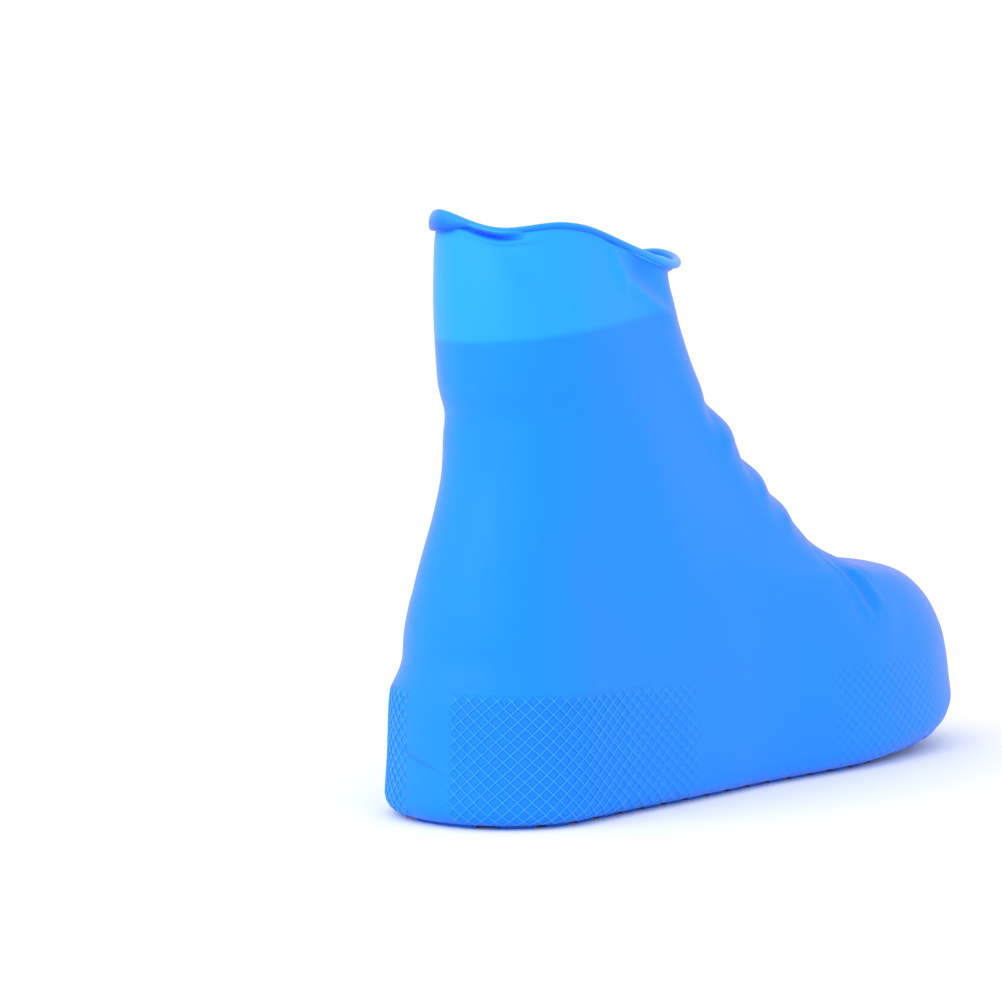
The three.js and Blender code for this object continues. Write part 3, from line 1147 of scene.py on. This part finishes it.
@dataclass
class GripBand(Piece):
    """The band round the foot with its raised diamond net.

    The net's skin starts part of the way round the lower edge, at start_at_heel and start_at_toe
    degrees. Up the wall it takes the film's direction, which is read join_rise up the film: by
    join_turn, and the later the higher join_power is. The net crowds towards the heel, is bare
    within a gap on each side of the heel's middle, and fades out over edge_fade at its top. Bars
    scallop the lower edge where the sole springs up: sooner with bar_onset, and with steeper
    sides as bar_steepness grows. The inner wall takes a row of the skin in inner_step.
    """

    cells_around: int = 134
    cells_up: int = 10
    heel_crowding: float = 0.16
    heel_reach: float = 0.07
    start_at_heel: float = 30.0
    start_at_toe: float = 8.0
    wall: float = 0.0018
    ridge_height: float = 0.00042
    cell_depth: float = 0.00012
    ridge_share: float = 0.07
    slope_share: float = 0.2
    # Ridges are painted lighter, a painted highlight, and cell floors beside them darker, painted shade
    # in the cells' hollows.
    ridge_highlight_tone: float = 1.0
    cell_shade_tone: float = 0.34
    middle_tone: float = 0.45
    heel_gap: float = 0.0075
    heel_gap_inner: float = 0.012
    gap_soft: float = 0.003
    heel_end: float = 0.1
    bar_height: float = 0.0013
    bar_onset: float = 4.0
    bar_steepness: float = 1.5
    tread_pitch: float = 0.012
    skin_columns: int = 720
    skin_rows: int = 60
    round_rows: int = 9
    wall_rows: int = 16
    under_shares: tuple[float, ...] = (0.66, 0.33, 0.0)
    inner_start: int = 15
    inner_step: int = 12
    join_rise: float = 0.006
    join_turn: float = 0.7
    join_power: float = 4.0
    edge_fade: float = 0.05

    def edge_row(self, angle: np.ndarray) -> np.ndarray:
        """Draws the loop at an angle round the lower edge.

        Args:
            angle: Degrees for each column, 0 at the underside and 90 at the wall.

        Returns:
            The loop's points.
        """
        turn = np.radians(angle)
        share_in, share_up = 1.0 - np.sin(turn), 1.0 - np.cos(turn)
        row = self.form.foot_inset(share_in, share_up, 0.0, self.form.tread_depth, self.skin_columns)
        spring = self.form.spring(row[:, 0]) / self.form.toe_spring
        sprung = np.clip(spring * self.bar_onset, 0.0, 1.0)
        phase = 2 * math.pi * row[:, 0] / self.tread_pitch
        bars = smooth(0.5 + self.bar_steepness * np.cos(phase))
        row[:, 2] -= self.bar_height * sprung * bars * np.cos(turn) ** 2
        return row

    def net_skin(self) -> tuple[Skin, np.ndarray]:
        """Draws the band's skin, from part of the way round its lower edge up to the film.

        Returns:
            The skin, and the angle that each column starts at.
        """
        foot = self.form.foot_loop(self.skin_columns)
        share = (foot[:, 0] - self.form.heel_x) / (self.form.toe_x - self.form.heel_x)
        start = mix(self.start_at_heel, self.start_at_toe, smooth(share))
        rows = [self.edge_row(mix(start, 90.0, t)) for t in np.linspace(0.0, 1.0, self.round_rows)]
        wall, top = rows[-1], self.form.upper_loop(0.0, self.skin_columns)
        ahead = self.form.upper_loop(self.join_rise, self.skin_columns) - top
        ahead /= np.linalg.norm(ahead, axis=1, keepdims=True)
        ahead *= np.linalg.norm(top - wall, axis=1, keepdims=True)
        for t in np.linspace(0.0, 1.0, self.wall_rows)[1:]:
            turned = self.join_turn * (t - 1.0) * t**self.join_power
            rows.append(mix(wall, top, t) + turned * (ahead - top + wall))
        return Skin(np.stack(rows)).evened(self.skin_rows), start

    def strength(self, points: np.ndarray) -> np.ndarray:
        """Finds how strongly the net stands out.

        Args:
            points: Points of the band.

        Returns:
            A share for each point, 0 where the band is plain.
        """
        length = self.form.toe_x - self.form.heel_x
        share = (points[:, 0] - self.form.heel_x) / length
        along = np.interp(share, [n.share for n in NET], [n.strength for n in NET])
        aside = np.where(points[:, 1] < 0.0, self.heel_gap, self.heel_gap_inner)
        beside = smooth((np.abs(points[:, 1]) - aside) / self.gap_soft + 0.5)
        return along * np.where(share < self.heel_end, beside, 1.0)

    def lattice(self) -> tuple[list[NetPlace], list[Face], list[int], list[int]]:
        """Lays the net out: ridges between diamond cells with slightly raised middles.

        Returns:
            The vertices, the faces, and the vertices along the lower and upper edges.
        """
        n, half = self.cells_around, 2 * self.cells_up
        places: list[NetPlace] = []
        faces: list[Face] = []
        crests: dict[tuple[int, int], int] = {}
        lower: list[int] = []
        upper: list[int] = []

        def add(a: float, b: float, height: float, tone: float) -> int:
            """Adds a vertex at a half-cell's place round and up; returns its number."""
            places.append(NetPlace(a / (2 * n), b / half, height, tone))
            return len(places) - 1

        def crest(a: int, b: int) -> int:
            """Finds or adds the net's crossing at a place.

            Args:
                a: Half-cells round.
                b: Half-cells up.

            Returns:
                The vertex's number, or -1 past an edge.
            """
            if not 0 <= b <= half:
                return -1
            key = (a % (2 * n), b)
            if key not in crests:
                low = 0.0 if b in (0, half) else 1.0
                crests[key] = add(key[0], b, low * self.ridge_height, self.ridge_highlight_tone)
            return crests[key]

        for b in range(half + 1):
            plain = b in (0, half)
            floor_height = 0.0 if plain else -self.cell_depth
            for a in range(b % 2, 2 * n, 2):
                corners = ((a - 1, b), (a, b - 1), (a + 1, b), (a, b + 1))
                outer = [crest(*c) for c in corners]
                ring, floor = [], []
                for (ca, cb), number in zip(corners, outer):
                    if number < 0:
                        ring.append(-1)
                        floor.append(-1)
                        continue
                    flat = 0.0 if plain and cb == b else 1.0
                    top = flat * self.ridge_height
                    share = self.ridge_share
                    ring.append(add(mix(ca, a, share), mix(cb, b, share), top, self.ridge_highlight_tone))
                    share = self.slope_share
                    floor.append(add(mix(ca, a, share), mix(cb, b, share), floor_height, self.cell_shade_tone))
                middle = add(a, b, 0.0, self.middle_tone)
                for k in range(4):
                    m = (k + 1) % 4
                    if outer[k] < 0 or outer[m] < 0:
                        continue
                    faces.append((outer[k], outer[m], ring[m], ring[k]))
                    faces.append((ring[k], ring[m], floor[m], floor[k]))
                    faces.append((floor[k], floor[m], middle))
                if plain:
                    row = lower if b == 0 else upper
                    row += [outer[0], ring[0], floor[0], middle, floor[2], ring[2]]
        return places, faces, lower, upper

    def turned(self, turn: np.ndarray) -> np.ndarray:
        """Crowds even shares of a turn towards the heel.

        Args:
            turn: Even shares.

        Returns:
            Shares of the band's length round.
        """
        place = np.linspace(0.0, 1.0, self.skin_columns + 1)
        near = np.minimum(place, 1.0 - place) / self.heel_reach
        crowd = np.cumsum(1.0 + self.heel_crowding * np.exp(-(near**2)))
        crowd = (crowd - crowd[0]) / (crowd[-1] - crowd[0])
        return np.interp(turn, crowd, place)

    def build(self) -> None:
        """Builds the band as one closed mesh: net, lower edge and smooth inner wall."""
        skin, start = self.net_skin()
        places, faces, lower, upper = self.lattice()
        turns = self.turned(np.array([p.turn for p in places]) % 1.0)
        rises = np.array([p.rise for p in places])
        points, normals = skin.at(turns, rises)
        strength = self.strength(points) * smooth((1.0 - rises) / self.edge_fade)
        heights = np.array([p.height for p in places]) * strength
        points = points + normals * heights[:, None]
        # The ridges' painted highlight and the cells' painted shade fade with the net's strength.
        tones = PLAIN_TONE + (np.array([p.tone for p in places]) - PLAIN_TONE) * strength
        edge_turns = turns[lower]
        columns = len(lower)

        def dense_row(row: np.ndarray) -> np.ndarray:
            """Reads a dense loop at the net's own columns.

            Args:
                row: The dense loop's points.

            Returns:
                A point for each column of the net.
            """
            across = edge_turns * self.skin_columns
            left = np.floor(across).astype(int)
            right = (left + 1) % self.skin_columns
            return mix(row[left % self.skin_columns], row[right], (across - left)[:, None])

        edge = [dense_row(self.edge_row(start * t)) for t in self.under_shares]
        lip = edge[-1] + (0.0, 0.0, self.wall)
        inside = skin.moved(-self.wall)
        kept = range(self.inner_start, self.skin_rows, self.inner_step)
        inner_rows = [dense_row(inside.points[r]) for r in kept]
        outward = skin.at(edge_turns, np.ones(columns))[1] * (1.0, 1.0, 0.0)
        top = points[upper] - outward * self.wall
        strip = [*edge, lip, *inner_rows, top]
        first = len(points)
        rows = [[first + s * columns + i for i in range(columns)] for s in range(len(strip))]
        chain = [lower, *rows, upper]
        for high, low in zip(chain, chain[1:]):
            for i in range(columns):
                j = (i + 1) % columns
                faces.append((low[i], low[j], high[j], high[i]))
        tones = np.concatenate([tones, np.full(columns * len(strip), PLAIN_TONE)])
        self.dress(np.vstack([points, *strip]), faces, tones)


@dataclass
class Outsole(Piece):
    """The sole plate with its bars across, set in a little from the band."""

    inset: float = 0.0001
    thickness: float = 0.003
    pitch: float = 0.012
    groove: float = 0.0036
    draft: float = 0.0004
    stations: int = 320
    across: int = 24

    def underside(self, x: np.ndarray) -> np.ndarray:
        """Finds the tread's height above the sole's lowest face.

        Args:
            x: Places along the foot.

        Returns:
            Heights: 0 on bars and the tread's depth in grooves.
        """
        place = np.abs(np.mod(x, self.pitch) - self.pitch / 2)
        wall = (self.groove / 2 - place) / self.draft + 0.5
        return self.form.tread_depth * smooth(wall)

    def build(self) -> None:
        """Builds the sole as strips across the foot, bars and grooves alike."""
        outline = self.form.foot_inset(1.0, 0.0, self.inset, 0.0, 4 * self.stations)
        half = outline[: 2 * self.stations + 1]
        spread = (1.0 - np.cos(np.pi * np.arange(1, self.stations) / self.stations)) / 2.0
        back, front = half[0, 0], half[-1, 0]
        bars = math.ceil((front - back) / self.pitch) + 1
        grooves = (math.floor(back / self.pitch) + 0.5 + np.arange(bars)) * self.pitch
        walls = [side * self.groove / 2 + end * self.draft / 2 for side in (-1, 1) for end in (-1, 1)]
        marks = (grooves[:, None] + walls).ravel()
        marks = marks[(marks > back) & (marks < front)]
        x = np.unique(np.concatenate([mix(back, front, spread), marks]))
        width = np.interp(x, half[:, 0], -half[:, 1])
        side = np.linspace(-1.0, 1.0, self.across)
        spring = self.form.spring(x)
        sections = []
        for height, way in ((spring + self.underside(x), 1), (spring + self.thickness, -1)):
            section = np.empty((len(x), self.across, 3))
            section[:, :, 0] = x[:, None]
            section[:, :, 1] = width[:, None] * side[None, ::way]
            section[:, :, 2] = height[:, None]
            sections.append(section)
        points = np.concatenate(sections, axis=1).reshape(-1, 3)
        ring = 2 * self.across
        faces: list[Face] = [face[::-1] for face in ring_faces(len(x), ring, False)]
        faces.append(tuple(range(ring)))
        faces.append(tuple((len(x) - 1) * ring + i for i in reversed(range(ring))))
        self.dress(points, faces, np.full(len(points), PLAIN_TONE))

    def finish_mesh(self, mesh: bpy.types.Mesh) -> None:
        """Keeps the bars' edges crisp."""
        mesh.shade_flat()


@dataclass(frozen=True)
class Lamp:
    """A soft square lamp: where it hangs, its side, and its power in watts."""

    name: str
    place: Place
    size: float
    power: float


LAMPS: tuple[Lamp, ...] = (
    Lamp("key", (-1.35, 0.25, 0.9), 1.2, 9.0),
    Lamp("fill", (0.2, -1.6, 1.0), 1.4, 2.0),
)


@dataclass
class Studio:
    """White floor, soft white light, and the camera at the photograph's angle.

    focal_pixels is the lens's length and horizon the row at the camera's height, both in the
    photograph's pixels. ahead and side_reach are the shares of +X and +Y in its direction.
    """

    image: int = 1002
    focal_pixels: float = 3160.0
    horizon: float = 280.0
    camera_x: float = -0.928
    camera_y: float = -0.641
    camera_z: float = 0.176
    side_reach: float = 0.616
    ahead: float = 0.788
    sensor: float = 36.0
    aim_height: float = 0.08
    sky: float = 1.05
    floor_size: float = 60.0
    floor_white: float = 0.98

    def camera(self) -> None:
        """Sets the camera where the photograph was taken from."""
        data = bpy.data.cameras.new("camera")
        data.sensor_width = self.sensor
        data.lens = self.sensor * self.focal_pixels / self.image
        camera = bpy.data.objects.new("camera", data)
        camera.location = (self.camera_x, self.camera_y, self.camera_z)
        pitch = math.atan((self.image / 2 - self.horizon) / self.focal_pixels)
        level = Vector((self.ahead, self.side_reach, 0.0)).normalized()
        look = level * math.cos(pitch) + Vector((0.0, 0.0, -math.sin(pitch)))
        camera.rotation_euler = look.to_track_quat("-Z", "Y").to_euler()
        bpy.context.scene.collection.objects.link(camera)
        bpy.context.scene.camera = camera

    def hang(self, lamp: Lamp) -> None:
        """Adds a lamp that faces the cover.

        Args:
            lamp: The lamp.
        """
        data = bpy.data.lights.new(lamp.name, "AREA")
        data.size = lamp.size
        data.energy = lamp.power
        light = bpy.data.objects.new(lamp.name, data)
        light.location = lamp.place
        aim = Vector((0.0, 0.0, self.aim_height)) - Vector(lamp.place)
        light.rotation_euler = aim.to_track_quat("-Z", "Y").to_euler()
        bpy.context.scene.collection.objects.link(light)

    def build(self) -> None:
        """Builds the floor, the light and the camera."""
        self.camera()
        for lamp in LAMPS:
            self.hang(lamp)
        world = bpy.data.worlds.new("studio")
        world.use_nodes = True
        sky = world.node_tree.nodes["Background"]
        sky.inputs["Color"].default_value = WHITE
        sky.inputs["Strength"].default_value = self.sky
        bpy.context.scene.world = world
        half = self.floor_size / 2
        corners = [(-half, -half, 0.0), (half, -half, 0.0), (half, half, 0.0), (-half, half, 0.0)]
        floor = make_mesh("floor", np.array(corners), [(0, 1, 2, 3)])
        paper = bpy.data.materials.new("floor_paper")
        paper.use_nodes = True
        shader = paper.node_tree.nodes["Principled BSDF"]
        white = self.floor_white
        shader.inputs["Base Color"].default_value = (white, white, white, 1.0)
        shader.inputs["Roughness"].default_value = 1.0
        shader.inputs["Specular IOR Level"].default_value = 0.0
        floor.data.materials.append(paper)
        bpy.context.scene.view_settings.view_transform = "Standard"


FILM_FINISH = Latex(
    name="latex_film",
    deep=(0.001, 0.06, 0.8, 1.0),
    plain=(0.004, 0.25, 0.97, 1.0),
    light=(0.06, 0.6, 1.0, 1.0),
    collar=ThinGlowCollar(),
)
RIM_FINISH = Latex(
    name="latex_rim",
    deep=(0.001, 0.05, 0.7, 1.0),
    plain=(0.006, 0.25, 0.95, 1.0),
    light=(0.04, 0.4, 1.0, 1.0),
    roughness=0.4,
)
BAND_FINISH = Latex(
    name="latex_band",
    deep=(0.002, 0.15, 0.75, 1.0),
    plain=(0.004, 0.25, 0.97, 1.0),
    light=(0.03, 0.4, 1.0, 1.0),
    crease=HeelCrease(),
)
SOLE_FINISH = Latex(
    name="latex_sole",
    deep=(0.001, 0.08, 0.5, 1.0),
    plain=(0.003, 0.16, 0.68, 1.0),
    light=(0.01, 0.27, 0.85, 1.0),
    roughness=0.62,
    speckle=0.05,
    grain=0.3,
)


def main() -> None:
    """Builds every piece in order and reports it."""
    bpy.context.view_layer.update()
    form = CoverForm()
    Studio().build()
    UpperFilm(form, FILM_FINISH, Node.UPPER, Slot.FILM, "upper_film").build()
    RolledRim(form, RIM_FINISH, Node.RIM, Slot.RIM, "rim_bead").build()
    GripBand(form, BAND_FINISH, Node.BAND, Slot.BAND, "net_band").build()
    Outsole(form, SOLE_FINISH, Node.SOLE, Slot.SOLE, "tread_sole").build()


if __name__ == "__main__":
    main()
